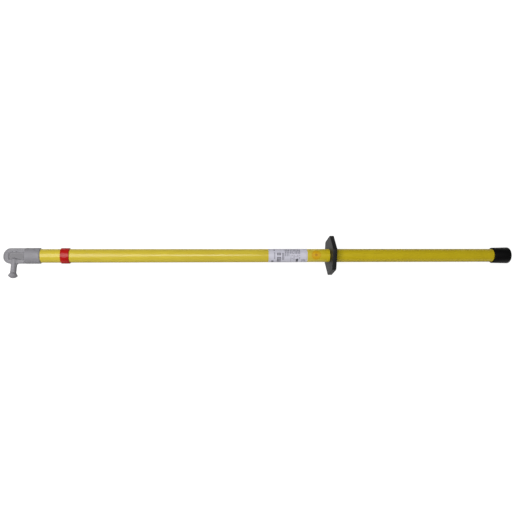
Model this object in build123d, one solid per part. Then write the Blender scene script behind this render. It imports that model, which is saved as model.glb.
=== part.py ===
from build123d import *
import math
import os

# Lineman hot stick, in millimetres.
# The stick lies along X with its head towards -X. The origin is the centre of the end cap's foot.
# The peg of the head points along -Y, and Z is normal to the flat sides of the head.

# Tube
TUBE_OD = 30.0
TUBE_WALL = 3.0

# Stations along the stick, from the foot to the tip
HANDLE_LENGTH = 418.4
GUARD_THICKNESS = 9.5
GUARD_TO_RING = 576.0
RING_WIDTH = 18.8
RING_TO_HEAD = 42.8
HEAD_LENGTH = 80.1

# Plugs inside the tube
HEAD_PLUG_LENGTH = 34.0
HANDLE_PLUG_LENGTH = 20.0

# End cap
CAP_LENGTH = 41.0
CAP_FLOOR = 6.0
CAP_MOUTH_OD = 35.5
CAP_FOOT_OD = 37.3
CAP_FOOT_ROUNDING = 4.0
CAP_FOOT_STEPS = 3
CAP_LIP_CHAMFER = 0.6
CAP_BORE_CLEARANCE = 0.05
CAP_END_GAP = 0.3
CAP_GROOVE_COUNT = 3
CAP_GROOVE_WIDTH = 3.0
CAP_GROOVE_DEPTH = 0.8
CAP_GROOVE_PITCH = 9.0

# Socket of the working head
SOCKET_OD = 34.4
SOCKET_LENGTH = 34.0
SOCKET_FLOOR = 5.0
SOCKET_MOUTH_BEVEL = 1.6
SOCKET_SHOULDER_CHAMFER = 2.0

# Paddle of the working head
PADDLE_HEIGHT = 33.9
PADDLE_THICKNESS = 8.0
PADDLE_END_RADIUS = 15.0
PADDLE_EDGE_CHAMFER = 1.0
NOSE_BEVEL_LENGTH = 8.0
NOSE_BEVEL_DEPTH = 2.5
NOSE_BEVEL_RADIUS = 23.0
WEB_FROM_TIP = 11.0
WEB_HEIGHT = 17.0
WEB_DEPTH = 2.0
WEB_CORNER_RADIUS = 4.0
WEB_DRAFT = 35.0
WEB_DROP = 1.0

# Peg of the working head
PEG_DIAMETER = 12.5
PEG_FROM_TIP = 24.0
PEG_RIB_START = 6.0
PEG_RIB_CHAMFER = 2.5
PEG_ROOT_FLARE = 3.0
PEG_REACH = 50.0
BUTTON_DIAMETER = 19.5
BUTTON_HEIGHT = 11.5
BUTTON_DOME = 5.0
BUTTON_RIM = 0.8

# Slotted spring pins of the head
PIN_DIAMETER = 5.0
PIN_WALL = 1.1
PIN_SLOT = 0.9
PIN_RECESS = 0.3
PIN_FROM_MOUTH = 8.0
PIN_PITCH = 12.0
PIN_COUNT = 2

# Red ring
RING_OD = 34.4
RING_EDGE_CHAMFER = 1.0

# Hand guard
GUARD_ACROSS_FLATS = 81.0
GUARD_CORNER_RADIUS = 6.5
GUARD_EDGE_CHAMFER = 1.0
GUARD_LIP_OD = 37.0
GUARD_LIP_LENGTH = 5.0
GUARD_LIP_CHAMFER = 1.5

# Label and sticker
ADHESIVE_THICKNESS = 0.03
LABEL_LENGTH = 87.9
LABEL_THICKNESS = 0.15
LABEL_FROM_GUARD = 51.5
LABEL_SEAM_ANGLE = 20.0
STICKER_DIAMETER = 21.4
STICKER_THICKNESS = 0.2
STICKER_FROM_GUARD = 31.6
STICKER_TURN = 12.0

# Stations worked out from the lengths above
TUBE_RADIUS = TUBE_OD / 2
BORE_RADIUS = TUBE_RADIUS - TUBE_WALL
TUBE_END_X = -(CAP_FLOOR + CAP_END_GAP)
GUARD_HANDLE_X = -HANDLE_LENGTH
GUARD_FRONT_X = GUARD_HANDLE_X - GUARD_THICKNESS
RING_BACK_X = GUARD_FRONT_X - GUARD_TO_RING
RING_FRONT_X = RING_BACK_X - RING_WIDTH
MOUTH_X = RING_FRONT_X - RING_TO_HEAD
TIP_X = MOUTH_X - HEAD_LENGTH
SHOULDER_X = MOUTH_X - SOCKET_LENGTH
TUBE_START_X = SHOULDER_X + SOCKET_FLOOR
PEG_X = TIP_X + PEG_FROM_TIP
UNDERSIDE_Y = -PADDLE_HEIGHT / 2


def along_x(radius, x_from, x_to):
    """Solid round bar on the stick's axis between two stations."""
    plane = Plane(origin=(x_from, 0, 0), x_dir=(0, 1, 0), z_dir=(1, 0, 0))
    return extrude(plane * Circle(radius), amount=x_to - x_from)


def turned(points):
    """Body of revolution about the stick's axis from (x, radius) points."""
    profile = make_face(Polyline(*points, close=True))
    return revolve(profile, axis=Axis.X)


def cross_holes():
    """Tools for the holes that the cross pins share in socket, tube and plug."""
    holes = Part()
    for index in range(PIN_COUNT):
        plane = Plane(origin=(pin_station(index), 0, 0), x_dir=(1, 0, 0), z_dir=(0, 1, 0))
        holes += extrude(plane * Circle(PIN_DIAMETER / 2), amount=SOCKET_OD, both=True)
    return holes


def pin_station(index):
    """Place of a cross pin along the stick, counted from the socket's mouth."""
    return MOUTH_X - PIN_FROM_MOUTH - index * PIN_PITCH


def insulating_tube():
    """Fibreglass tube from the bottom of the head's socket to the floor of the cap."""
    tube = along_x(TUBE_RADIUS, TUBE_START_X, TUBE_END_X)
    tube -= along_x(BORE_RADIUS, TUBE_START_X, TUBE_END_X)
    return tube - cross_holes()


def head_end_plug():
    """Plug that closes the tube under the head, drilled for the cross pins."""
    return along_x(BORE_RADIUS, TUBE_START_X, TUBE_START_X + HEAD_PLUG_LENGTH) - cross_holes()


def handle_end_plug():
    """Plug that closes the tube under the cap."""
    return along_x(BORE_RADIUS, TUBE_END_X - HANDLE_PLUG_LENGTH, TUBE_END_X)


def foam_core():
    """Foam that fills the tube between the two plugs."""
    return along_x(BORE_RADIUS, TUBE_START_X + HEAD_PLUG_LENGTH, TUBE_END_X - HANDLE_PLUG_LENGTH)


def head_socket():
    """Round socket with a bevelled mouth and a chamfered closed shoulder."""
    barrel = along_x(SOCKET_OD / 2, SHOULDER_X, MOUTH_X)
    shoulder_edge = barrel.edges().filter_by(GeomType.CIRCLE).sort_by(Axis.X)[0]
    barrel = chamfer(shoulder_edge, SOCKET_SHOULDER_CHAMFER)
    mouth_edge = barrel.edges().filter_by(GeomType.CIRCLE).sort_by(Axis.X)[-1]
    return chamfer(mouth_edge, SOCKET_MOUTH_BEVEL)


def nose_bevels():
    """Tools for the crescents that thin the paddle's tip on both sides."""
    half = PADDLE_THICKNESS / 2
    centre_x = TIP_X + NOSE_BEVEL_LENGTH + NOSE_BEVEL_RADIUS
    outer = NOSE_BEVEL_RADIUS + 2 * NOSE_BEVEL_LENGTH
    profile = make_face(Polyline(
        (NOSE_BEVEL_RADIUS, half),
        (outer, half - 2 * NOSE_BEVEL_DEPTH),
        (outer, PADDLE_THICKNESS),
        (NOSE_BEVEL_RADIUS, PADDLE_THICKNESS),
        close=True,
    ))
    swing = Plane(origin=(centre_x, 0, 0), x_dir=(0, 1, 0), z_dir=(1, 0, 0))
    crescent = revolve(swing * profile, axis=Axis((centre_x, 0, 0), (0, 0, 1)), revolution_arc=180)
    return crescent + mirror(crescent, about=Plane.XY)


def web_panels():
    """Tools for the drafted recesses that run from behind the nose into the socket's shoulder."""
    x_from = TIP_X + WEB_FROM_TIP
    x_to = SHOULDER_X + WEB_CORNER_RADIUS
    panels = Part()
    for side in (1, -1):
        middle = ((x_from + x_to) / 2, -WEB_DROP, side * PADDLE_THICKNESS / 2)
        plane = Plane(origin=middle, z_dir=(0, 0, -side))
        panel = plane * RectangleRounded(x_to - x_from, WEB_HEIGHT, WEB_CORNER_RADIUS)
        panels += extrude(panel, amount=WEB_DEPTH, taper=WEB_DRAFT)
    return panels


def head_paddle():
    """Flat paddle with a rounded, bevelled tip, broken edges and a recessed web on each side."""
    length = SHOULDER_X + SOCKET_FLOOR / 2 - TIP_X
    outline = Pos(TIP_X, 0) * Rectangle(length, PADDLE_HEIGHT, align=(Align.MIN, Align.CENTER))
    tip_corners = outline.vertices().group_by(Axis.X)[0]
    outline = fillet(tip_corners, PADDLE_END_RADIUS)
    paddle = extrude(outline, amount=PADDLE_THICKNESS / 2, both=True)
    for side in (0, -1):
        rim = paddle.faces().filter_by(Axis.Z).sort_by(Axis.Z)[side].edges()
        paddle = chamfer(rim, PADDLE_EDGE_CHAMFER)
    return paddle - nose_bevels() - web_panels()


def peg_plane():
    """Plane with its X across the stick's length and its Y along the peg, outwards."""
    return Plane(origin=(PEG_X, 0, 0), x_dir=(1, 0, 0), z_dir=(0, 0, -1))


def about_peg(profile):
    """Body of revolution about the peg from a face drawn on the peg's plane."""
    return revolve(peg_plane() * profile, axis=Axis((PEG_X, 0, 0), (0, -1, 0)))


def head_peg():
    """Peg that starts as a rib in the paddle and ends in a domed button."""
    radius = PEG_DIAMETER / 2
    rim = BUTTON_DIAMETER / 2
    rim_y = PEG_REACH - BUTTON_DOME
    outline = Polyline(
        (0, PEG_RIB_START),
        (radius - PEG_RIB_CHAMFER, PEG_RIB_START),
        (radius, PEG_RIB_START + PEG_RIB_CHAMFER),
        (radius, PEG_REACH - BUTTON_HEIGHT),
        (rim, rim_y - BUTTON_RIM),
        (rim, rim_y),
    )
    dome_radius = (rim**2 + BUTTON_DOME**2) / (2 * BUTTON_DOME)
    half_angle = math.asin(rim / dome_radius) / 2
    dome_middle = (
        dome_radius * math.sin(half_angle),
        PEG_REACH - dome_radius * (1 - math.cos(half_angle)),
    )
    dome_arc = ThreePointArc(outline @ 1, dome_middle, (0, PEG_REACH))
    axis_line = Line(dome_arc @ 1, outline @ 0)
    return about_peg(make_face([outline, dome_arc, axis_line]))


def peg_root():
    """Flare that carries the peg into the paddle's underside."""
    radius = PEG_DIAMETER / 2
    flare = radius + PEG_ROOT_FLARE
    under = -UNDERSIDE_Y
    inside = under - PADDLE_EDGE_CHAMFER
    profile = make_face(Polyline(
        (0, inside), (flare, inside), (flare, under), (radius, under + PEG_ROOT_FLARE),
        (0, under + PEG_ROOT_FLARE),
        close=True,
    ))
    web = Box(2 * flare, PADDLE_HEIGHT, PADDLE_THICKNESS - 2 * PADDLE_EDGE_CHAMFER)
    return about_peg(profile) & (Pos(PEG_X, UNDERSIDE_Y, 0) * web)


def working_head():
    """Grey head in one casting: socket, paddle, peg and button, bored for the tube and pins."""
    casting = head_socket() + head_paddle() + head_peg() + peg_root()
    casting -= along_x(TUBE_RADIUS, TUBE_START_X, MOUTH_X + SOCKET_MOUTH_BEVEL)
    return casting - cross_holes()


def head_cross_pins():
    """Slotted spring pins through socket, tube and plug, in the plane of the peg."""
    half_length = SOCKET_OD / 2 - PIN_RECESS
    pins = []
    for index in range(PIN_COUNT):
        plane = Plane(origin=(pin_station(index), 0, 0), x_dir=(1, 0, 0), z_dir=(0, 1, 0))
        ring = Circle(PIN_DIAMETER / 2) - Circle(PIN_DIAMETER / 2 - PIN_WALL)
        ring -= Rectangle(PIN_DIAMETER, PIN_SLOT, align=(Align.MIN, Align.CENTER))
        pins.append(extrude(plane * ring, amount=half_length, both=True))
    return Compound(children=pins)


def red_ring():
    """Band round the tube with chamfered outer edges."""
    band = along_x(RING_OD / 2, RING_FRONT_X, RING_BACK_X)
    band = chamfer(band.edges().filter_by(GeomType.CIRCLE), RING_EDGE_CHAMFER)
    return band - along_x(TUBE_RADIUS, RING_FRONT_X, RING_BACK_X)


def hand_guard():
    """Six-sided rubber plate with a flat towards the peg and a short lip on the handle side."""
    plane = Plane(origin=(GUARD_FRONT_X, 0, 0), x_dir=(0, 1, 0), z_dir=(1, 0, 0))
    apothem = GUARD_ACROSS_FLATS / 2
    hexagon = RegularPolygon(apothem, 6, major_radius=False, rotation=30)
    hexagon = fillet(hexagon.vertices(), GUARD_CORNER_RADIUS)
    plate = extrude(plane * hexagon, amount=GUARD_THICKNESS)
    for side in (0, -1):
        plate = chamfer(plate.faces().filter_by(Axis.X).sort_by(Axis.X)[side].edges(), GUARD_EDGE_CHAMFER)
    lip = along_x(GUARD_LIP_OD / 2, GUARD_HANDLE_X, GUARD_HANDLE_X + GUARD_LIP_LENGTH)
    lip = chamfer(lip.edges().filter_by(GeomType.CIRCLE).sort_by(Axis.X)[-1], GUARD_LIP_CHAMFER)
    guard = plate + lip
    return guard - along_x(TUBE_RADIUS, GUARD_FRONT_X, GUARD_HANDLE_X + GUARD_LIP_LENGTH)


def rating_label():
    """Label wrapped round the tube, with its seam on the side away from +Z."""
    end_x = GUARD_FRONT_X - LABEL_FROM_GUARD
    plane = Plane(origin=(end_x - LABEL_LENGTH, 0, 0), x_dir=(0, 1, 0), z_dir=(1, 0, 0))
    inner = TUBE_RADIUS + ADHESIVE_THICKNESS
    band = Circle(inner + LABEL_THICKNESS) - Circle(inner)
    reach = 2 * TUBE_OD
    half_seam = reach * math.tan(math.radians(LABEL_SEAM_ANGLE / 2))
    seam = make_face(Polyline((0, 0), (half_seam, -reach), (-half_seam, -reach), close=True))
    return extrude(plane * (band - seam), amount=LABEL_LENGTH)


def inspection_sticker():
    """Round sticker wrapped on the tube, turned from +Z towards the peg's side."""
    centre_x = GUARD_FRONT_X - STICKER_FROM_GUARD
    half = STICKER_DIAMETER / 2
    inner = TUBE_RADIUS + ADHESIVE_THICKNESS
    half_chord = inner * math.sin(half / inner)
    skin = along_x(inner + STICKER_THICKNESS, centre_x - half, centre_x + half)
    skin -= along_x(inner, centre_x - half, centre_x + half)
    cutter = extrude(Pos(centre_x, 0) * Ellipse(half, half_chord), amount=TUBE_OD)
    return Rot(STICKER_TURN, 0, 0) * (skin & cutter)


def end_cap():
    """Rubber cap, slightly wider at the foot, with relief grooves between its gripping lands."""
    bore = TUBE_RADIUS + CAP_BORE_CLEARANCE
    foot = CAP_FOOT_OD / 2
    outline = [(-CAP_LENGTH, 0), (-CAP_LENGTH, CAP_MOUTH_OD / 2)]
    for step in range(CAP_FOOT_STEPS + 1):
        angle = math.pi / 2 * step / CAP_FOOT_STEPS
        x = -CAP_FOOT_ROUNDING * (1 - math.sin(angle))
        outline.append((x, foot - CAP_FOOT_ROUNDING * (1 - math.cos(angle))))
    body = turned(outline + [(0, 0)])
    mouth_edge = body.edges().filter_by(GeomType.CIRCLE).sort_by(Axis.X)[0]
    body = chamfer(mouth_edge, CAP_LIP_CHAMFER)
    body -= along_x(bore, -CAP_LENGTH, -CAP_FLOOR)
    for index in range(CAP_GROOVE_COUNT):
        start = -CAP_FLOOR - CAP_GROOVE_PITCH * (index + 1)
        body -= along_x(bore + CAP_GROOVE_DEPTH, start, start + CAP_GROOVE_WIDTH)
    return body


NODES = {
    "insulating_tube": insulating_tube,
    "foam_core": foam_core,
    "head_end_plug": head_end_plug,
    "handle_end_plug": handle_end_plug,
    "working_head": working_head,
    "head_cross_pins": head_cross_pins,
    "red_ring": red_ring,
    "hand_guard": hand_guard,
    "rating_label": rating_label,
    "inspection_sticker": inspection_sticker,
    "end_cap": end_cap,
}

os.makedirs("parts", exist_ok=True)
for node, build in NODES.items():
    solid = build()
    export_step(solid, f"parts/{node}.step")
    print(node, round(solid.volume, 1))
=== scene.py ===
"""Lineman hot stick, dressed for the studio.

Every object is in metres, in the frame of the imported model: the stick lies along X with its head
towards -X and its peg along -Y, and the origin is the centre of the end cap's foot.
"""

import logging
import math
from dataclasses import dataclass
from enum import Enum

import bmesh
import bpy
from mathutils import Matrix, Vector


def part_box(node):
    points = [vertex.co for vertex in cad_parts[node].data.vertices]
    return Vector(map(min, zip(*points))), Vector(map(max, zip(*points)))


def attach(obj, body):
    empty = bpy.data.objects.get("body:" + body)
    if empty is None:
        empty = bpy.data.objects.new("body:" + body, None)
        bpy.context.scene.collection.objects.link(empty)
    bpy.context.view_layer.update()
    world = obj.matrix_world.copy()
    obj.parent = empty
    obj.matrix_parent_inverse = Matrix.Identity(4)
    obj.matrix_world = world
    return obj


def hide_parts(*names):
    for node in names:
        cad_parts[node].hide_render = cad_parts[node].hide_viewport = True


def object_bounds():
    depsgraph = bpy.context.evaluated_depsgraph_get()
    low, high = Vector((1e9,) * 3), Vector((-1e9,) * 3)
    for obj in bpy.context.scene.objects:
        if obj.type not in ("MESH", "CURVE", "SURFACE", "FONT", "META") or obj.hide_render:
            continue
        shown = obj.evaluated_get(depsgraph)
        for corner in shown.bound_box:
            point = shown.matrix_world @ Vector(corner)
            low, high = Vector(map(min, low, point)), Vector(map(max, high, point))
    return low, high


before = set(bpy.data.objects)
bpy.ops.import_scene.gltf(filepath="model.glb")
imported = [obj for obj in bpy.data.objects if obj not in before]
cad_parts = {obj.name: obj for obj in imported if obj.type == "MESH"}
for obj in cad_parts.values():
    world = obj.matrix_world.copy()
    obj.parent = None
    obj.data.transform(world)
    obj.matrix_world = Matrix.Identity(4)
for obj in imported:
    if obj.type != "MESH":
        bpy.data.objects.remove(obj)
CAD_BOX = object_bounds()

LOG = logging.getLogger("hot_stick")
MM = 0.001
WELD = 0.0001 * MM
Colour = tuple[float, float, float]
Span = tuple[float, float]

# The label's missing dashes are picked by a scattered sine of their line and cell.
LINE_STEP = 12.9898
CELL_STEP = 78.233
FIRST_STEP = 1.7
SCATTER = 437.585


class Body(Enum):
    """The CAD bodies that pieces ride on."""

    STICK = "stick"
    CAP = "cap"


class Slot(Enum):
    """The record's material slots that new pieces take their finish from."""

    HEAD = "head_grey"
    RING = "ring_red"
    LABEL = "label"
    GUARD = "guard_rubber"
    CAP = "cap_rubber"


def srgb(red: float, green: float, blue: float) -> Colour:
    """Turns display values from 0 to 1 into the linear values that shaders use.

    Args:
        red: Red as it is seen on a screen.
        green: Green as it is seen on a screen.
        blue: Blue as it is seen on a screen.

    Returns:
        The three linear values.
    """
    def linear(value: float) -> float:
        """One display value made linear."""
        return value / 12.92 if value <= 0.04045 else ((value + 0.055) / 1.055) ** 2.4
    return linear(red), linear(green), linear(blue)


@dataclass(frozen=True)
class Grain:
    """One noise: its features per metre, its octaves and the weight of the finer octaves."""

    scale: float
    detail: float = 3.0
    rough: float = 0.55


class Signal:
    """A number that varies over a surface: one shader socket with arithmetic on it."""

    def __init__(self, graph: "FinishGraph", socket: bpy.types.NodeSocket) -> None:
        """Keeps where the signal comes from.

        Args:
            graph: The graph that it belongs to.
            socket: The socket that carries it.
        """
        self.graph = graph
        self.socket = socket

    def _math(self, operation: str, *others: "Signal | float") -> "Signal":
        """Adds one Math node.

        Args:
            operation: The Math node's operation.
            others: The further operands.

        Returns:
            The node's result.
        """
        operands = dict(enumerate((self, *others)))
        node = self.graph.node("ShaderNodeMath", {"operation": operation}, operands)
        return Signal(self.graph, node.outputs[0])

    def __add__(self, other: "Signal | float") -> "Signal":
        """This plus other."""
        return self._math("ADD", other)

    def __sub__(self, other: "Signal | float") -> "Signal":
        """This minus other."""
        return self._math("SUBTRACT", other)

    def __mul__(self, other: "Signal | float") -> "Signal":
        """This times other."""
        return self._math("MULTIPLY", other)

    def __truediv__(self, other: "Signal | float") -> "Signal":
        """This over other."""
        return self._math("DIVIDE", other)

    def __pow__(self, other: "Signal | float") -> "Signal":
        """This to the power of other."""
        return self._math("POWER", other)

    def __gt__(self, other: "Signal | float") -> "Signal":
        """1 where this is more than other, else 0."""
        return self._math("GREATER_THAN", other)

    def __lt__(self, other: "Signal | float") -> "Signal":
        """1 where this is less than other, else 0."""
        return self._math("LESS_THAN", other)

    def __abs__(self) -> "Signal":
        """The size of this without its sign."""
        return self._math("ABSOLUTE")

    def __mod__(self, other: "Signal | float") -> "Signal":
        """What is left of this after whole steps of other."""
        return self._math("FLOORED_MODULO", other)

    def sine(self) -> "Signal":
        """The sine of this, in radians."""
        return self._math("SINE")

    def floor(self) -> "Signal":
        """The whole number at or below this."""
        return self._math("FLOOR")

    def high(self, other: "Signal | float") -> "Signal":
        """The greater of this and other."""
        return self._math("MAXIMUM", other)

    def angle_to(self, other: "Signal | float") -> "Signal":
        """The angle whose tangent is this over other, in radians."""
        return self._math("ARCTAN2", other)

    def mixed(self, other: "Signal", share: float) -> "Signal":
        """This and another signal, added by their shares.

        Args:
            other: The other signal.
            share: This signal's share of 1. The other has the rest.

        Returns:
            The sum.
        """
        return self * share + other * (1.0 - share)

    def about(self, middle: float, spread: float) -> "Signal":
        """A value that this noise moves up and down.

        Args:
            middle: The value where the noise is one half.
            spread: How far the values at noise 1 and at noise 0 lie apart.

        Returns:
            The value.
        """
        return self * spread + (middle - spread / 2)

    def ramp(
        self, start: float, end: float, low: float = 0.0, high: float = 1.0
    ) -> "Signal":
        """Maps this smoothly from the range start to end onto low to high.

        Args:
            start: The value that gives low.
            end: The value that gives high.
            low: The result at start and before.
            high: The result at end and after.

        Returns:
            The mapped signal.
        """
        node = self.graph.node(
            "ShaderNodeMapRange",
            {"interpolation_type": "SMOOTHSTEP", "clamp": True},
            {"Value": self, "From Min": start, "From Max": end, "To Min": low, "To Max": high},
        )
        return Signal(self.graph, node.outputs["Result"])


class FinishGraph:
    """The node tree of one finish, with a Principled shader at its end."""

    def __init__(self, name: str) -> None:
        """Makes the material.

        Args:
            name: The finish's name.
        """
        self.material = bpy.data.materials.new(name)
        self.material.use_nodes = True
        self.tree = self.material.node_tree
        self.tree.nodes.clear()
        output = self.tree.nodes.new("ShaderNodeOutputMaterial")
        self.shader = self.tree.nodes.new("ShaderNodeBsdfPrincipled")
        self.tree.links.new(self.shader.outputs["BSDF"], output.inputs["Surface"])
        self.coordinates = self.tree.nodes.new("ShaderNodeTexCoord")

    def plug(self, socket: bpy.types.NodeSocket, value: object) -> None:
        """Feeds one socket.

        Args:
            socket: The socket.
            value: A signal, a link's other end or a plain value.
        """
        if isinstance(value, Signal):
            self.tree.links.new(value.socket, socket)
        elif isinstance(value, bpy.types.NodeSocket):
            self.tree.links.new(value, socket)
        elif socket.type == "RGBA":
            socket.default_value = (*value, 1.0) if len(value) == 3 else value
        else:
            socket.default_value = value

    def node(
        self, kind: str, settings: dict | None = None, inputs: dict | None = None
    ) -> bpy.types.Node:
        """Adds one node.

        Args:
            kind: The node's type.
            settings: The node's own settings, set before its sockets.
            inputs: Values or links for its sockets, by name or number.

        Returns:
            The node.
        """
        node = self.tree.nodes.new(kind)
        for key, value in (settings or {}).items():
            setattr(node, key, value)
        for key, value in (inputs or {}).items():
            self.plug(node.inputs[key], value)
        return node

    def set(self, **values: object) -> None:
        """Feeds the Principled shader.

        Args:
            values: A value for each socket, named with underscores for spaces.
        """
        for key, value in values.items():
            self.plug(self.shader.inputs[key.replace("_", " ")], value)

    def place(self) -> tuple[Signal, Signal, Signal]:
        """The surface point's place on the object, in metres."""
        node = self.node("ShaderNodeSeparateXYZ", None, {0: self.coordinates.outputs["Object"]})
        return tuple(Signal(self, output) for output in node.outputs)

    def sheet_place(self) -> tuple[Signal, Signal]:
        """The surface point's place on the piece's own map."""
        node = self.node("ShaderNodeSeparateXYZ", None, {0: self.coordinates.outputs["UV"]})
        return Signal(self, node.outputs[0]), Signal(self, node.outputs[1])

    def normal(self) -> tuple[Signal, Signal, Signal]:
        """The direction that the surface faces."""
        geometry = self.node("ShaderNodeNewGeometry")
        node = self.node("ShaderNodeSeparateXYZ", None, {0: geometry.outputs["True Normal"]})
        return tuple(Signal(self, output) for output in node.outputs)

    def stretched(self, x: float, y: float, z: float) -> bpy.types.NodeSocket:
        """Object coordinates, stretched or squeezed.

        Args:
            x: The factor along X.
            y: The factor along Y.
            z: The factor along Z.

        Returns:
            The coordinates' socket.
        """
        node = self.node(
            "ShaderNodeMapping",
            {"vector_type": "POINT"},
            {"Vector": self.coordinates.outputs["Object"], "Scale": (x, y, z)},
        )
        return node.outputs["Vector"]

    def noise(self, grain: Grain, vector: bpy.types.NodeSocket | None = None) -> Signal:
        """Even noise from 0 to 1.

        Args:
            grain: The noise's settings.
            vector: The coordinates, or None for the object's own.

        Returns:
            The noise.
        """
        node = self.node("ShaderNodeTexNoise", None, {
            "Vector": vector or self.coordinates.outputs["Object"],
            "Scale": grain.scale, "Detail": grain.detail, "Roughness": grain.rough,
        })
        return Signal(self, node.outputs["Fac"])

    def blend(self, amount: Signal | float, low: object, high: object) -> bpy.types.NodeSocket:
        """A colour between low and high.

        Args:
            amount: 0 for low, 1 for high.
            low: A colour or a colour's socket.
            high: A colour or a colour's socket.

        Returns:
            The colour's socket.
        """
        settings = {"data_type": "RGBA", "clamp_factor": True}
        node = self.node("ShaderNodeMix", settings, {0: amount, 6: low, 7: high})
        return node.outputs[2]

    def bump(self, height: Signal, depth: float) -> bpy.types.NodeSocket:
        """A shading normal from a height.

        Args:
            height: The height, from 0 to 1.
            depth: What a height of 1 stands for, in metres.

        Returns:
            The normal's socket.
        """
        inputs = {"Strength": 1.0, "Distance": depth, "Height": height}
        return self.node("ShaderNodeBump", None, inputs).outputs["Normal"]


@dataclass(frozen=True)
class GelCoat:
    """Yellow gel-coated fibreglass over faint streaks of glass, duller where hands hold it, with
    painted shade darkening and browning the handle side.
    """

    guard_x: float
    name: str = "yellow_gel_coat"
    colour: Colour = srgb(0.69, 0.625, 0.20)
    streak: Colour = srgb(0.66, 0.59, 0.18)
    # The handle side's two colours are painted shade: darker and browner, for the weaker light
    # there.
    handle_shade: Colour = srgb(0.66, 0.59, 0.08)
    handle_shade_streak: Colour = srgb(0.63, 0.555, 0.07)
    fade: float = 60.0 * MM
    roughness: float = 0.20
    rub_roughness: float = 0.10
    held_roughness: float = 0.10
    specular: float = 0.21
    ior: float = 1.5
    glass: Grain = Grain(900.0, 4.0, 0.6)
    glass_stretch: float = 0.03
    cloud: Grain = Grain(22.0, 2.0)
    glass_share: float = 0.6
    tone_range: Span = (0.35, 0.7)
    rub: Grain = Grain(60.0, 5.0, 0.7)
    rub_stretch: float = 0.4
    rub_range: Span = (0.45, 0.75)
    peel: Grain = Grain(700.0, 2.0, 0.4)
    peel_share: float = 0.7
    peel_depth: float = 0.04 * MM

    def build(self) -> bpy.types.Material:
        """Makes the material."""
        graph = FinishGraph(self.name)
        glass = graph.noise(self.glass, graph.stretched(self.glass_stretch, 1.0, 1.0))
        rub = graph.noise(self.rub, graph.stretched(self.rub_stretch, 1.0, 1.0))
        rub = rub.ramp(*self.rub_range)
        tone = glass.mixed(graph.noise(self.cloud), self.glass_share).ramp(*self.tone_range)
        along, _, _ = graph.place()
        # Painted shade: over the fade before the guard's front the colour turns darker and browner,
        # and stays so on the handle side.
        handle_side = along.ramp(self.guard_x - self.fade, self.guard_x)
        head_side_colour = graph.blend(tone, self.streak, self.colour)
        handle_side_colour = graph.blend(tone, self.handle_shade_streak, self.handle_shade)
        wear = rub * self.rub_roughness + handle_side * self.held_roughness
        skin = graph.noise(self.peel).mixed(glass, self.peel_share)
        graph.set(
            Base_Color=graph.blend(handle_side, head_side_colour, handle_side_colour),
            Roughness=wear + self.roughness,
            Normal=graph.bump(skin, self.peel_depth),
            IOR=self.ior,
            Specular_IOR_Level=self.specular,
        )
        return graph.material


@dataclass(frozen=True)
class CastCoat:
    """Fine matte grey coat on a casting, with painted shade darkening its recesses, and a faint
    parting line.
    """

    name: str = "grey_cast_coat"
    colour: Colour = srgb(0.46, 0.455, 0.47)
    shade: Colour = srgb(0.43, 0.425, 0.44)
    recess_shade: Colour = srgb(0.40, 0.395, 0.405)
    roughness: float = 0.60
    roughness_spread: float = 0.16
    specular: float = 0.35
    ior: float = 1.45
    grain: Grain = Grain(2600.0, 2.0, 0.5)
    pits: Grain = Grain(900.0, 3.0, 0.6)
    skin_height: float = 0.35
    skin_depth: float = 0.08 * MM
    cloud: Grain = Grain(70.0, 3.0, 0.6)
    cloud_share: float = 0.6
    tone_range: Span = (0.35, 0.65)
    parting_half_width: float = 0.35 * MM
    parting_facing: Span = (0.2, 0.5)
    recess_height: float = 2.7 * MM
    recess_fade: float = 0.3 * MM
    recess_facing: Span = (0.7, 0.95)
    recess_least: float = 0.6

    def build(self) -> bpy.types.Material:
        """Makes the material."""
        graph = FinishGraph(self.name)
        _, _, height = graph.place()
        _, _, facing = graph.normal()
        height, facing = abs(height), abs(facing)
        grain, pits, cloud = (graph.noise(item) for item in (self.grain, self.pits, self.cloud))
        line = height.ramp(0.0, self.parting_half_width, 1.0, 0.0)
        line = line * facing.ramp(*self.parting_facing, 1.0, 0.0)
        # Painted shade: the pocket floors, deep in the recesses and facing ±Z, are darkened towards
        # a shade colour.
        recess_shading = height.ramp(self.recess_height - self.recess_fade, self.recess_height, 1.0, 0.0)
        recess_shading = recess_shading * facing.ramp(*self.recess_facing)
        recess_shading = recess_shading * (cloud * (1.0 - self.recess_least) + self.recess_least)
        tone = cloud.mixed(pits, self.cloud_share).ramp(*self.tone_range)
        coat = graph.blend(tone, self.shade, self.colour)
        skin = grain * self.skin_height + pits * self.skin_height + line
        graph.set(
            Base_Color=graph.blend(recess_shading, coat, self.recess_shade),
            Roughness=pits.about(self.roughness, self.roughness_spread),
            Normal=graph.bump(skin, self.skin_depth),
            IOR=self.ior,
            Specular_IOR_Level=self.specular,
        )
        return graph.material


@dataclass(frozen=True)
class RingPlastic:
    """Semi-gloss red plastic."""

    name: str = "red_ring_plastic"
    colour: Colour = srgb(0.585, 0.06, 0.045)
    shade: Colour = srgb(0.545, 0.05, 0.04)
    roughness: float = 0.28
    roughness_spread: float = 0.12
    specular: float = 0.18
    ior: float = 1.5
    turned: Grain = Grain(500.0, 3.0, 0.6)
    turned_stretch: tuple[float, float, float] = (6.0, 0.4, 0.4)
    turned_depth: float = 0.05 * MM
    cloud: Grain = Grain(90.0, 3.0)
    tone_range: Span = (0.35, 0.65)

    def build(self) -> bpy.types.Material:
        """Makes the material."""
        graph = FinishGraph(self.name)
        turned = graph.noise(self.turned, graph.stretched(*self.turned_stretch))
        cloud = graph.noise(self.cloud)
        graph.set(
            Base_Color=graph.blend(cloud.ramp(*self.tone_range), self.shade, self.colour),
            Roughness=cloud.about(self.roughness, self.roughness_spread),
            Normal=graph.bump(turned, self.turned_depth),
            IOR=self.ior,
            Specular_IOR_Level=self.specular,
        )
        return graph.material


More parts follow.
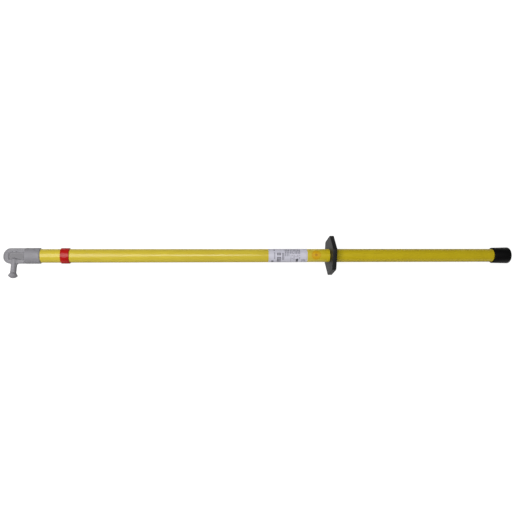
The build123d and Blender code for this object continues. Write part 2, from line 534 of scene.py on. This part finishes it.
@dataclass(frozen=True)
class MouldedRubber:
    """Black rubber with a fine moulded skin and a little dust."""

    name: str
    colour: Colour
    dust: Colour
    dust_amount: float
    roughness: float
    specular: float
    roughness_spread: float = 0.14
    ior: float = 1.5
    skin: Grain = Grain(1600.0, 3.0, 0.6)
    skin_depth: float = 0.06 * MM
    dusting: Grain = Grain(120.0, 5.0, 0.65)
    dust_range: Span = (0.45, 0.75)

    def build(self) -> bpy.types.Material:
        """Makes the material."""
        graph = FinishGraph(self.name)
        skin = graph.noise(self.skin)
        dust = graph.noise(self.dusting).ramp(*self.dust_range) * self.dust_amount
        graph.set(
            Base_Color=graph.blend(dust, self.colour, self.dust),
            Roughness=skin.about(self.roughness, self.roughness_spread),
            Normal=graph.bump(skin, self.skin_depth),
            IOR=self.ior,
            Specular_IOR_Level=self.specular,
        )
        return graph.material


@dataclass(frozen=True)
class PrintBlock:
    """A block of ruled bars on the label, whole or cut into dashes, in millimetres.

    Places along the stick count from the label's end near the head, and places around the tube
    from +Z towards the peg's side. Where dash is 0, the bars are whole. Otherwise a dash is missing
    where its scattered value from 0 to 1 is not above left_out, and dash_fill is the inked share
    of a dash's length.
    """

    along: tuple[float, float]
    around: tuple[float, float]
    pitch: float
    bar: float
    ink: float
    left_out: float = 0.0
    dash: float = 0.0
    dash_fill: float = 0.8

    def mask(self, along: Signal, around: Signal) -> Signal:
        """The block's ink, from 0 to 1.

        Args:
            along: Place along the stick, in millimetres.
            around: Place around the tube, in millimetres.

        Returns:
            The ink.
        """
        x_low, x_high = self.along
        s_low, s_high = self.around
        ink = abs(along - (x_low + x_high) / 2) < (x_high - x_low) / 2
        ink = ink * (abs(around - (s_low + s_high) / 2) < (s_high - s_low) / 2)
        ink = ink * (((along - x_low) % self.pitch) < self.bar)
        if self.dash:
            line = ((along - x_low) / self.pitch).floor()
            cell = ((around - s_low) / self.dash).floor()
            angle = line * LINE_STEP + cell * CELL_STEP + FIRST_STEP
            chance = (angle.sine() * SCATTER) % 1.0
            within = ((around - s_low) % self.dash) < self.dash * self.dash_fill
            ink = ink * (chance > self.left_out) * within
        return ink * self.ink


@dataclass(frozen=True)
class LabelPrint:
    """Pale laminated label whose form is only ruled lines, bars and boxes."""

    length: float
    radius: float
    arc: float
    name: str = "label_print"
    paper: Colour = srgb(0.665, 0.66, 0.70)
    ink: Colour = srgb(0.10, 0.10, 0.12)
    roughness: float = 0.45
    specular: float = 0.25
    margin: float = 2.2
    rule: float = 0.35
    rule_ink: float = 0.35
    ink_least: float = 0.75
    ink_spread: float = 0.3
    roughness_spread: float = 0.1
    ior: float = 1.5
    fibre: Grain = Grain(1500.0, 3.0, 0.6)
    blocks: tuple[PrintBlock, ...] = (
        PrintBlock((11.5, 14.0), (-13.0, -7.0), 9.0, 6.0, 0.75),
        PrintBlock((12.0, 14.5), (-3.0, 12.6), 9.0, 6.0, 0.60, 0.10, 2.6),
        PrintBlock((19.0, 27.2), (-2.0, 4.8), 3.0, 2.2, 1.00, 0.05, 3.4),
        PrintBlock((19.0, 28.0), (7.5, 22.0), 3.0, 2.2, 1.00, 0.05, 3.8),
        PrintBlock((30.5, 35.0), (-1.5, 15.0), 2.6, 1.8, 0.85, 0.10, 2.8),
        PrintBlock((37.0, 46.4), (-13.0, 5.9), 3.7, 2.0, 0.80, 0.05, 4.2),
        PrintBlock((49.6, 50.4), (3.0, 22.0), 9.0, 6.0, 0.70),
        PrintBlock((48.5, 71.0), (-13.0, 1.0), 3.4, 2.0, 0.80, 0.10, 2.8),
        PrintBlock((52.0, 73.0), (3.0, 15.0), 4.2, 2.0, 0.55, 0.30, 2.6),
        PrintBlock((62.0, 67.0), (12.5, 22.0), 9.0, 6.0, 1.00),
        PrintBlock((6.5, 11.5), (17.0, 22.5), 9.0, 6.0, 0.95),
        PrintBlock((74.5, 84.0), (13.5, 21.0), 3.2, 2.0, 0.75, 0.10, 2.8),
        PrintBlock((12.0, 76.0), (-38.0, -18.8), 3.2, 1.4, 0.60, 0.05, 3.2),
        PrintBlock((12.0, 76.0), (28.0, 40.0), 3.2, 1.4, 0.60, 0.05, 3.2),
    )

    def build(self) -> bpy.types.Material:
        """Makes the material."""
        graph = FinishGraph(self.name)
        u, v = graph.sheet_place()
        along = u * self.length
        around = (v - 0.5) * (self.arc * self.radius)
        fibre = graph.noise(self.fibre)
        edge = abs(along - self.length / 2) - (self.length / 2 - self.margin)
        ink = (abs(edge) < self.rule / 2) * self.rule_ink
        for block in self.blocks:
            ink = ink.high(block.mask(along, around))
        ink = ink * (fibre * self.ink_spread + self.ink_least)
        graph.set(
            Base_Color=graph.blend(ink, self.paper, self.ink),
            Roughness=fibre.about(self.roughness, self.roughness_spread),
            IOR=self.ior,
            Specular_IOR_Level=self.specular,
        )
        return graph.material


@dataclass(frozen=True)
class StickerVinyl:
    """Orange vinyl with a darker field in its middle and ticks round its rim."""

    centre_x: float
    turn: float
    tube_radius: float
    name: str = "sticker_vinyl"
    colour: Colour = srgb(0.695, 0.545, 0.03)
    dark: Colour = srgb(0.60, 0.42, 0.015)
    roughness: float = 0.42
    roughness_spread: float = 0.1
    specular: float = 0.25
    ior: float = 1.5
    field_radius: float = 3.6 * MM
    field_core: float = 0.7
    tick_radius: float = 8.4 * MM
    tick_half_width: float = 0.17
    tick_ink: float = 0.8
    ticks: int = 12
    print_share: float = 0.85
    fibre: Grain = Grain(1500.0, 3.0, 0.6)

    def build(self) -> bpy.types.Material:
        """Makes the material."""
        graph = FinishGraph(self.name)
        x, y, z = graph.place()
        along = x - self.centre_x
        around = (y.angle_to(z) + self.turn) * self.tube_radius
        away = (along * along + around * around) ** 0.5
        sector = (along.angle_to(around) * (self.ticks / math.tau)) % 1.0
        ticks = (away > self.tick_radius) * (abs(sector - 0.5) < self.tick_half_width)
        field = away.ramp(self.field_radius * self.field_core, self.field_radius, 1.0, 0.0)
        fibre = graph.noise(self.fibre)
        marks = field.high(ticks * self.tick_ink).mixed(fibre, self.print_share)
        graph.set(
            Base_Color=graph.blend(marks, self.colour, self.dark),
            Roughness=fibre.about(self.roughness, self.roughness_spread),
            IOR=self.ior,
            Specular_IOR_Level=self.specular,
        )
        return graph.material


@dataclass(frozen=True)
class SpringSteel:
    """Plain spring steel with drawn lines."""

    name: str = "spring_steel"
    colour: Colour = srgb(0.62, 0.62, 0.64)
    roughness: float = 0.36
    roughness_spread: float = 0.2
    drawn: Grain = Grain(2200.0, 3.0, 0.6)
    drawn_depth: float = 0.03 * MM

    def build(self) -> bpy.types.Material:
        """Makes the material."""
        graph = FinishGraph(self.name)
        drawn = graph.noise(self.drawn)
        graph.set(
            Base_Color=self.colour,
            Metallic=1.0,
            Roughness=drawn.about(self.roughness, self.roughness_spread),
            Normal=graph.bump(drawn, self.drawn_depth),
        )
        return graph.material


@dataclass(frozen=True)
class CorePlastic:
    """Foam or moulded nylon inside the tube, with a fine cell or flow pattern."""

    name: str
    colour: Colour
    shade: Colour
    grain: Grain
    depth: float
    roughness: float
    roughness_spread: float = 0.12
    ior: float = 1.5
    tone_range: Span = (0.35, 0.65)

    def build(self) -> bpy.types.Material:
        """Makes the material."""
        graph = FinishGraph(self.name)
        cells = graph.noise(self.grain)
        graph.set(
            Base_Color=graph.blend(cells.ramp(*self.tone_range), self.shade, self.colour),
            Roughness=cells.about(self.roughness, self.roughness_spread),
            Normal=graph.bump(cells, self.depth),
            IOR=self.ior,
        )
        return graph.material


@dataclass(frozen=True)
class StudioPaper:
    """Plain white paper that glows as a light table does, so that little shadow lies on it."""

    name: str = "studio_paper"
    colour: Colour = (0.14, 0.14, 0.14)
    glow: float = 0.94
    roughness: float = 0.9
    specular: float = 0.1

    def build(self) -> bpy.types.Material:
        """Makes the material."""
        graph = FinishGraph(self.name)
        graph.set(
            Base_Color=self.colour,
            Roughness=self.roughness,
            Specular_IOR_Level=self.specular,
            Emission_Color=(1.0, 1.0, 1.0),
            Emission_Strength=self.glow,
        )
        return graph.material


GUARD_RUBBER = MouldedRubber(
    "guard_rubber", srgb(0.045, 0.045, 0.045), srgb(0.10, 0.10, 0.10), 0.30, 0.55, 0.22
)
CAP_RUBBER = MouldedRubber(
    "cap_rubber", srgb(0.02, 0.02, 0.02), srgb(0.05, 0.05, 0.05), 0.12, 0.50, 0.10
)
FOAM = CorePlastic(
    "core_foam", srgb(0.85, 0.82, 0.70), srgb(0.78, 0.74, 0.61),
    Grain(1400.0, 3.0, 0.6), 0.2 * MM, 0.9,
)
NYLON = CorePlastic(
    "plug_nylon", srgb(0.30, 0.30, 0.30), srgb(0.26, 0.26, 0.26),
    Grain(800.0, 3.0, 0.6), 0.05 * MM, 0.5,
)


def dress(node: str, material: bpy.types.Material) -> None:
    """Gives a CAD node a finish.

    Args:
        node: The node's name.
        material: The finish.
    """
    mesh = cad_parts[node].data
    mesh.materials.clear()
    mesh.materials.append(material)
    LOG.info("dressed %s with %s", node, material.name)


def publish(
    shape: bmesh.types.BMesh, name: str, node: str, body: Body,
    material: bpy.types.Material, crease: float = 40.0,
) -> None:
    """Turns a finished shape into the piece that stands for a CAD node.

    Args:
        shape: The shape, which is freed.
        name: The piece's name.
        node: The CAD node that it stands for.
        body: The body that it rides on.
        material: The finish.
        crease: Edges that turn by more than this many degrees stay sharp.
    """
    mesh = bpy.data.meshes.new(name)
    shape.to_mesh(mesh)
    shape.free()
    mesh.shade_smooth()
    mesh.set_sharp_from_angle(angle=math.radians(crease))
    mesh.materials.append(material)
    piece = bpy.data.objects.new(name, mesh)
    bpy.context.scene.collection.objects.link(piece)
    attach(piece, body.value)
    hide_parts(node)
    LOG.info("made %s for %s, %d faces", name, node, len(mesh.polygons))


def spun(
    outline: list[tuple[float, float]], closed: bool = True, start: float = 0.0,
    sweep: float = math.tau, steps: int = 96,
) -> bmesh.types.BMesh:
    """Turns an outline round the stick's axis.

    Args:
        outline: Places along X and radii, in metres.
        closed: False if the outline begins and ends on the axis, or stays open.
        start: Angle of the first outline, from +Z towards -Y.
        sweep: Angle that it is turned through.
        steps: Number of steps.

    Returns:
        The turned shape.
    """
    shape = bmesh.new()
    corners = [shape.verts.new((x, 0.0, radius)) for x, radius in outline]
    following = corners[1:] + corners[:1] if closed else corners[1:]
    edges = [shape.edges.new(pair) for pair in zip(corners, following)]
    centre = (0.0, 0.0, 0.0)
    bmesh.ops.rotate(shape, verts=corners, cent=centre, matrix=Matrix.Rotation(start, 3, "X"))
    full = sweep >= math.tau
    bmesh.ops.spin(
        shape, geom=corners + edges, axis=(1.0, 0.0, 0.0), cent=centre,
        angle=sweep, steps=steps, use_merge=full,
    )
    bmesh.ops.remove_doubles(shape, verts=shape.verts, dist=WELD)
    if not full:
        bmesh.ops.holes_fill(shape, edges=shape.edges, sides=len(outline))
    bmesh.ops.recalc_face_normals(shape, faces=shape.faces)
    return shape


def round_rim(
    shape: bmesh.types.BMesh, x: float, radius: float, width: float, segments: int
) -> None:
    """Rounds one circular edge of a turned shape.

    Args:
        shape: The shape.
        x: The edge's place along the stick.
        radius: The edge's radius.
        width: How far the rounding reaches from the edge.
        segments: Number of faces across the rounding.
    """
    slack = 0.02 * MM

    def on_rim(vert: bmesh.types.BMVert) -> bool:
        """Whether a corner lies on the edge."""
        away = math.hypot(vert.co.y, vert.co.z)
        return abs(vert.co.x - x) < slack and abs(away - radius) < slack

    rim = [edge for edge in shape.edges if all(on_rim(vert) for vert in edge.verts)]
    bmesh.ops.bevel(
        shape, geom=rim, offset=width, offset_type="OFFSET", segments=segments,
        profile=0.5, affect="EDGES", clamp_overlap=True, material=-1,
    )


@dataclass
class Shaft:
    """The foam-filled tube with its two plugs."""

    def build(self) -> None:
        """Dresses the tube and what is inside it."""
        dress("insulating_tube", GelCoat(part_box("hand_guard")[0].x).build())
        dress("foam_core", FOAM.build())
        nylon = NYLON.build()
        dress("head_end_plug", nylon)
        dress("handle_end_plug", nylon)


@dataclass
class WorkingHead:
    """The cast head, whose edges are softened as a coated casting's are, and its cross pins."""

    grid: float = 0.5 * MM
    weld: float = 0.001 * MM
    smoothing: int = 4
    smoothing_factor: float = 0.5
    crease: float = 70.0

    def casting(self) -> bmesh.types.BMesh:
        """The CAD head with its edges softened over about a millimetre."""
        shape = bmesh.new()
        shape.from_mesh(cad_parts["working_head"].data)
        bmesh.ops.remove_doubles(shape, verts=shape.verts, dist=self.weld)
        mesh = bpy.data.meshes.new("head_blank")
        shape.to_mesh(mesh)
        shape.free()
        blank = bpy.data.objects.new("head_blank", mesh)
        bpy.context.scene.collection.objects.link(blank)
        remesh = blank.modifiers.new("even_skin", "REMESH")
        remesh.mode = "VOXEL"
        remesh.voxel_size = self.grid
        graph = bpy.context.evaluated_depsgraph_get()
        skin = bpy.data.meshes.new_from_object(blank.evaluated_get(graph))
        bpy.data.objects.remove(blank)
        bpy.data.meshes.remove(mesh)
        shape = bmesh.new()
        shape.from_mesh(skin)
        bpy.data.meshes.remove(skin)
        for _ in range(self.smoothing):
            bmesh.ops.smooth_vert(
                shape, verts=shape.verts, factor=self.smoothing_factor,
                use_axis_x=True, use_axis_y=True, use_axis_z=True,
            )
        return shape

    def build(self) -> None:
        """Makes the casting and dresses the pins."""
        publish(
            self.casting(), "head_casting", "working_head", Body.STICK,
            CastCoat().build(), crease=self.crease,
        )
        dress("head_cross_pins", SpringSteel().build())


@dataclass
class MarkerRing:
    """The red ring."""

    tube_radius: float = 15.0 * MM
    radius: float = 17.2 * MM
    rounding: float = 1.3 * MM
    rounding_segments: int = 4

    def build(self) -> None:
        """Makes the ring with rounded outer edges."""
        low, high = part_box("red_ring")
        shape = spun([
            (low.x, self.tube_radius), (low.x, self.radius),
            (high.x, self.radius), (high.x, self.tube_radius),
        ])
        for x in (low.x, high.x):
            round_rim(shape, x, self.radius, self.rounding, self.rounding_segments)
        publish(shape, "marker_ring", "red_ring", Body.STICK, RingPlastic().build())


@dataclass
class Markings:
    """The rating label and the inspection sticker."""

    tube_radius: float = 15.03 * MM
    label_thickness: float = 0.15 * MM
    label_arc: float = math.radians(340.0)
    label_steps: int = 90
    sticker_turn: float = math.radians(12.0)

    def label(self) -> None:
        """Wraps the label round the tube, with its own map for the print."""
        low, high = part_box("rating_label")
        outer = self.tube_radius + self.label_thickness
        inner = self.tube_radius
        shape = spun(
            [(low.x, inner), (low.x, outer), (high.x, outer), (high.x, inner)],
            start=-self.label_arc / 2, sweep=self.label_arc, steps=self.label_steps,
        )
        layer = shape.loops.layers.uv.new("print")
        for face in shape.faces:
            for loop in face.loops:
                point = loop.vert.co
                turn = math.atan2(-point.y, point.z) / self.label_arc + 0.5
                loop[layer].uv = ((point.x - low.x) / (high.x - low.x), turn)
        finish = LabelPrint((high.x - low.x) / MM, outer / MM, self.label_arc)
        publish(shape, "wrapped_label", "rating_label", Body.STICK, finish.build())

    def build(self) -> None:
        """Makes the label and dresses the sticker."""
        self.label()
        low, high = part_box("inspection_sticker")
        finish = StickerVinyl((low.x + high.x) / 2, self.sticker_turn, self.tube_radius)
        dress("inspection_sticker", finish.build())


@dataclass
class HandGuard:
    """The six-sided rubber guard, whose edges are rounded as moulded rubber's are."""

    across_flats: float = 81.0 * MM
    thickness: float = 9.5 * MM
    corner_radius: float = 6.5 * MM
    edge_rounding: float = 1.2 * MM
    flat_margin: float = 0.4 * MM
    bore: float = 15.0 * MM
    lip_radius: float = 18.5 * MM
    lip_rounding: float = 1.5 * MM
    corner_segments: int = 6
    edge_segments: int = 4
    reach: float = 0.4
    half_side: float = math.radians(30.0)
    rim_angle: float = math.radians(60.0)
    rounding_corners: int = 8
    square_on: float = 0.99
    rim_slack: float = 0.01 * MM

    def flats(self, shape: bmesh.types.BMesh) -> list[bmesh.types.BMFace]:
        """The plate's two large faces, which have more corners than any face of a rounding.

        Args:
            shape: The shape.

        Returns:
            The faces.
        """
        return [
            face for face in shape.faces
            if len(face.verts) > self.rounding_corners
            and abs(face.normal.x) > self.square_on
        ]

    def rims(self, shape: bmesh.types.BMesh) -> list[bmesh.types.BMEdge]:
        """The sharp edges round the plate's two faces.

        Args:
            shape: The shape.

        Returns:
            The edges.
        """
        return [
            edge for edge in self.outer(shape, False)
            if edge.calc_face_angle(0.0) > self.rim_angle
        ]

    def outer(self, shape: bmesh.types.BMesh, along: bool) -> list[bmesh.types.BMEdge]:
        """The plate's edges, which lie further out than the bore and lip.

        Args:
            shape: The shape.
            along: True for the edges along X, False for those across it.

        Returns:
            The edges.
        """
        least = self.across_flats * self.reach
        return [
            edge for edge in shape.edges
            if all(math.hypot(vert.co.y, vert.co.z) > least for vert in edge.verts)
            and (abs(edge.verts[0].co.x - edge.verts[1].co.x) > self.thickness / 2) == along
        ]

    def soften(
        self, shape: bmesh.types.BMesh, edges: list[bmesh.types.BMEdge], width: float, segments: int
    ) -> None:
        """Rounds edges of the plate.

        Args:
            shape: The shape.
            edges: The edges.
            width: How far the rounding reaches from each edge.
            segments: Number of faces across the rounding.
        """
        bmesh.ops.bevel(
            shape, geom=edges, offset=width, offset_type="OFFSET", segments=segments,
            profile=0.5, affect="EDGES", clamp_overlap=True, material=-1,
        )

    def add_plate(self, shape: bmesh.types.BMesh, front: float) -> None:
        """Adds the six-sided plate, with flats towards +Y and -Y and both faces open.

        Args:
            shape: The shape that holds the bore and lip already.
            front: Place of the plate's front face along X.
        """
        plate = bmesh.ops.create_circle(
            shape, cap_ends=True, segments=6, radius=self.across_flats / math.sqrt(3.0)
        )["verts"]
        turn = Matrix.Rotation(self.half_side, 3, "X") @ Matrix.Rotation(math.pi / 2, 3, "Y")
        bmesh.ops.rotate(shape, verts=plate, cent=(0.0, 0.0, 0.0), matrix=turn)
        bmesh.ops.translate(shape, verts=plate, vec=(front, 0.0, 0.0))
        grown = bmesh.ops.extrude_face_region(shape, geom=plate[0].link_faces[:])["geom"]
        back = [item for item in grown if isinstance(item, bmesh.types.BMVert)]
        bmesh.ops.translate(shape, verts=back, vec=(self.thickness, 0.0, 0.0))
        corner = self.corner_radius * math.tan(self.half_side)
        self.soften(shape, self.outer(shape, True), corner, self.corner_segments)
        self.soften(shape, self.rims(shape), self.edge_rounding, self.edge_segments)
        shape.normal_update()
        faces = self.flats(shape)
        bmesh.ops.inset_region(
            shape, faces=faces, thickness=self.flat_margin, use_even_offset=True
        )
        bmesh.ops.delete(shape, geom=faces, context="FACES_ONLY")

    def build(self) -> None:
        """Makes the guard with its bore and the short lip on the handle side."""
        low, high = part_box("hand_guard")
        front, back = low.x, low.x + self.thickness
        shape = spun([
            (front, self.bore), (high.x, self.bore),
            (high.x, self.lip_radius), (back, self.lip_radius),
        ], closed=False)
        round_rim(shape, high.x, self.lip_radius, self.lip_rounding, self.edge_segments)
        self.add_plate(shape, front)
        for x in (front, back):
            rims = [
                edge for edge in shape.edges
                if edge.is_boundary
                and all(abs(vert.co.x - x) < self.rim_slack for vert in edge.verts)
            ]
            bmesh.ops.triangle_fill(
                shape, edges=rims, use_beauty=True, use_dissolve=False, normal=(1.0, 0.0, 0.0)
            )
        bmesh.ops.recalc_face_normals(shape, faces=shape.faces)
        publish(shape, "guard_plate", "hand_guard", Body.STICK, GUARD_RUBBER.build())


@dataclass
class EndCap:
    """The pushed-on rubber cap, with relief grooves in its bore."""

    length: float = 41.0 * MM
    floor: float = 6.0 * MM
    bore: float = 15.05 * MM
    mouth_radius: float = 17.75 * MM
    foot_radius: float = 18.747 * MM
    foot_rounding: float = 4.0 * MM
    foot_segments: int = 7
    lip_rounding: float = 0.6 * MM
    lip_segments: int = 3
    groove_width: float = 3.0 * MM
    groove_depth: float = 0.8 * MM
    groove_pitch: float = 9.0 * MM
    grooves: int = 3

    def build(self) -> None:
        """Makes the cap with a rounded foot."""
        outline = [(-self.floor, 0.0), (-self.floor, self.bore)]
        for index in range(1, self.grooves + 1):
            far = -self.floor - self.groove_pitch * index
            near = far + self.groove_width
            deep = self.bore + self.groove_depth
            outline += [(near, self.bore), (near, deep), (far, deep), (far, self.bore)]
        outline += [
            (-self.length, self.bore), (-self.length, self.mouth_radius),
            (0.0, self.foot_radius), (0.0, 0.0),
        ]
        shape = spun(outline, closed=False)
        round_rim(shape, 0.0, self.foot_radius, self.foot_rounding, self.foot_segments)
        round_rim(
            shape, -self.length, self.mouth_radius, self.lip_rounding, self.lip_segments
        )
        publish(shape, "pushed_cap", "end_cap", Body.CAP, CAP_RUBBER.build())


@dataclass(frozen=True)
class SoftBox:
    """A rectangular soft light that faces the stick's axis, in metres, degrees and watts."""

    name: str
    x_range: tuple[float, float]
    height: float
    elevation: float
    across: float
    power: float

    def hang(self) -> None:
        """Hangs the light over the stick's axis, facing it."""
        tilt = math.radians(self.elevation)
        middle = sum(self.x_range) / 2
        data = bpy.data.lights.new(self.name, "AREA")
        data.shape = "RECTANGLE"
        data.size = self.x_range[1] - self.x_range[0]
        data.size_y = self.across
        data.energy = self.power
        lamp = bpy.data.objects.new(self.name, data)
        bpy.context.scene.collection.objects.link(lamp)
        lamp.location = (middle, -self.height * math.cos(tilt), self.height * math.sin(tilt))
        lamp.rotation_euler = (math.pi / 2 - tilt, 0.0, 0.0)
        lamp.visible_camera = False


@dataclass
class Studio:
    """Floor, dome, shade cards, soft lights and the camera of the photograph.

    The camera stands left of the stick's middle and is turned a little towards the handle, and its
    frame is moved a little to the right of its axis, as in a cropped photograph.
    """

    elevation: float = 73.0
    distance: float = 1.213
    foot_x: float = -0.7158
    yaw: float = 4.777
    roll: float = 0.0825
    shift_x: float = 0.02
    focal_pixels: float = 540.0
    image_pixels: float = 515.0
    axis_above_centre: float = 1.9
    sensor: float = 36.0
    clip: Span = (0.05, 50.0)
    floor_half: float = 6.0
    dome_radius: float = 5.0
    dome_parts: tuple[int, int] = (64, 32)
    world_strength: float = 0.12
    shade_glow: float = 0.12
    shade_lift: float = 0.5 * MM
    shade_cards: tuple[tuple[float, float, float, float], ...] = (
        (-1.12, -0.50, -0.110, 0.005),
        (-0.405, 0.0, -0.110, 0.160),
    )
    boxes: tuple[SoftBox, ...] = (
        SoftBox("key_box", (-2.40, -1.25), 2.2, 79.5, 2.4, 69.0),
        SoftBox("strip_box", (-1.25, -0.39), 2.2, 79.5, 0.8, 29.0),
    )

    def camera(self) -> None:
        """Places the camera at the photograph's angle."""
        tilt = math.radians(self.elevation)
        towards = Vector((0.0, -math.cos(tilt), math.sin(tilt)))
        up = Vector((0.0, math.sin(tilt), math.cos(tilt)))
        along = Vector((1.0, 0.0, 0.0))
        turn = math.radians(self.yaw)
        back = towards * math.cos(turn) - along * math.sin(turn)
        right = along * math.cos(turn) + towards * math.sin(turn)
        lean = math.radians(self.roll)
        right, up = (
            right * math.cos(lean) - up * math.sin(lean),
            up * math.cos(lean) + right * math.sin(lean),
        )
        drop = self.axis_above_centre / self.focal_pixels * self.distance
        data = bpy.data.cameras.new("photo_camera")
        data.sensor_width = self.sensor
        data.lens = self.sensor * self.focal_pixels / self.image_pixels
        data.shift_x = self.shift_x
        camera = bpy.data.objects.new("photo_camera", data)
        bpy.context.scene.collection.objects.link(camera)
        place = Vector((self.foot_x, 0.0, 0.0)) + towards * self.distance - up * drop
        aim = Matrix((right, up, back)).transposed().to_4x4()
        camera.matrix_world = Matrix.Translation(place) @ aim
        data.clip_start, data.clip_end = self.clip
        bpy.context.scene.camera = camera

    def lay(
        self, shape: bmesh.types.BMesh, name: str, paper: bpy.types.Material,
        camera: bool = True, glossy: bool = True, rest: bool = True,
    ) -> None:
        """Puts a studio surface under or round the object's middle.

        Args:
            shape: The surface round the origin, which is freed.
            name: Its name.
            paper: Its finish.
            camera: Whether the camera sees it.
            glossy: Whether reflections show it.
            rest: Whether it lights, is seen through things and throws shadows.
        """
        bmesh.ops.translate(shape, verts=shape.verts, vec=(self.foot_x, 0.0, CAD_BOX[0].z))
        mesh = bpy.data.meshes.new(name)
        shape.to_mesh(mesh)
        shape.free()
        mesh.materials.append(paper)
        surface = bpy.data.objects.new(name, mesh)
        bpy.context.scene.collection.objects.link(surface)
        surface.visible_camera = camera
        surface.visible_glossy = glossy
        surface.visible_diffuse = rest
        surface.visible_transmission = rest
        surface.visible_shadow = rest

    def surfaces(self) -> None:
        """Lays the floor and closes the studio with a dome that takes no part in the lighting."""
        paper = StudioPaper().build()
        shape = bmesh.new()
        bmesh.ops.create_grid(shape, x_segments=1, y_segments=1, size=self.floor_half)
        self.lay(shape, "studio_floor", paper)
        shape = bmesh.new()
        around, up = self.dome_parts
        bmesh.ops.create_uvsphere(
            shape, u_segments=around, v_segments=up, radius=self.dome_radius
        )
        bmesh.ops.bisect_plane(
            shape, geom=shape.verts[:] + shape.edges[:] + shape.faces[:],
            plane_co=(0.0, 0.0, 0.0), plane_no=(0.0, 0.0, 1.0), clear_inner=True,
        )
        bmesh.ops.reverse_faces(shape, faces=shape.faces)
        self.lay(shape, "studio_dome", paper, glossy=False, rest=False)

    def shade(self) -> None:
        """Lays cards that stand for the stick's shadow, which the photograph's cut-out took away.

        Only reflections show them, so they darken the stick's limbs and leave the ground white.
        """
        paper = StudioPaper("studio_shade", glow=self.shade_glow).build()
        for number, (x_low, x_high, y_low, y_high) in enumerate(self.shade_cards):
            shape = bmesh.new()
            bmesh.ops.create_grid(shape, x_segments=1, y_segments=1, size=0.5)
            size = (x_high - x_low, y_high - y_low, 1.0)
            bmesh.ops.scale(shape, verts=shape.verts, vec=size)
            x, y = (x_low + x_high) / 2 - self.foot_x, (y_low + y_high) / 2
            bmesh.ops.translate(shape, verts=shape.verts, vec=(x, y, self.shade_lift))
            self.lay(shape, f"studio_shade_{number}", paper, camera=False, rest=False)

    def light(self) -> None:
        """Sets the even surrounding light and hangs the soft boxes."""
        world = bpy.data.worlds.new("studio_world")
        world.use_nodes = True
        surround = world.node_tree.nodes["Background"]
        surround.inputs["Color"].default_value = (1.0, 1.0, 1.0, 1.0)
        surround.inputs["Strength"].default_value = self.world_strength
        bpy.context.scene.world = world
        for box in self.boxes:
            box.hang()

    def build(self) -> None:
        """Builds floor, dome, cards, light and camera."""
        self.surfaces()
        self.shade()
        self.light()
        self.camera()
        bpy.context.scene.view_settings.view_transform = "Standard"
        bpy.context.scene.view_settings.look = "None"


def main() -> None:
    """Builds the studio, dresses the pieces and reports each one."""
    logging.basicConfig(level=logging.INFO, format="%(name)s: %(message)s")
    for assembly in (Shaft(), WorkingHead(), MarkerRing(), Markings(), HandGuard(), EndCap()):
        assembly.build()
    Studio().build()


if __name__ == "__main__":
    main()
